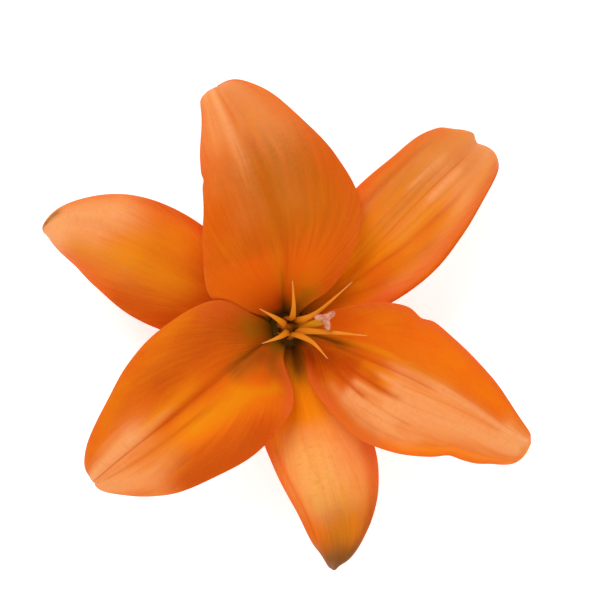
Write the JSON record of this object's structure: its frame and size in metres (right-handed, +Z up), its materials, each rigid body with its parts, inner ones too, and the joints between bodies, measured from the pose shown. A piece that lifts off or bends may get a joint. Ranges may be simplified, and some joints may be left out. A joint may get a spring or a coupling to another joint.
{
  "type": "lily bloom",
  "caption": "Open lily bloom with broad recurved petals over narrower sepals, bare filaments and a curved style with a lobed stigma, lying face up on its sepals' tips.",
  "frame": {"origin": "under the middle of the bloom's bounding box, on the surface that the sepals' tips rest on", "axes": "+Z up out of the throat; seen from above, +Y is towards the top petal and +X is to the right"},
  "size_m": [0.1434, 0.1434, 0.0488],
  "materials": {
    "inner_petal": "satin orange petal tissue",
    "outer_sepal": "satin orange petal tissue, golden along the midrib",
    "filament": "smooth amber plant tissue",
    "style": "smooth plant tissue, yellow style on a green ovary",
    "stigma": "granular pinkish lilac plant tissue",
    "receptacle": "smooth green plant tissue"
  },
  "bodies": {
    "root": {"petal_top": "inner_petal", "petal_lower_left": "inner_petal", "petal_right": "inner_petal", "sepal_left": "outer_sepal", "sepal_upper_right": "outer_sepal", "sepal_bottom": "outer_sepal", "filament_top": "filament", "filament_upper_right": "filament", "filament_right": "filament", "filament_lower_right": "filament", "filament_lower_left": "filament", "filament_upper_left": "filament", "pistil": "style", "stigma": "stigma", "receptacle": "receptacle"}
  },
  "joints": []
}
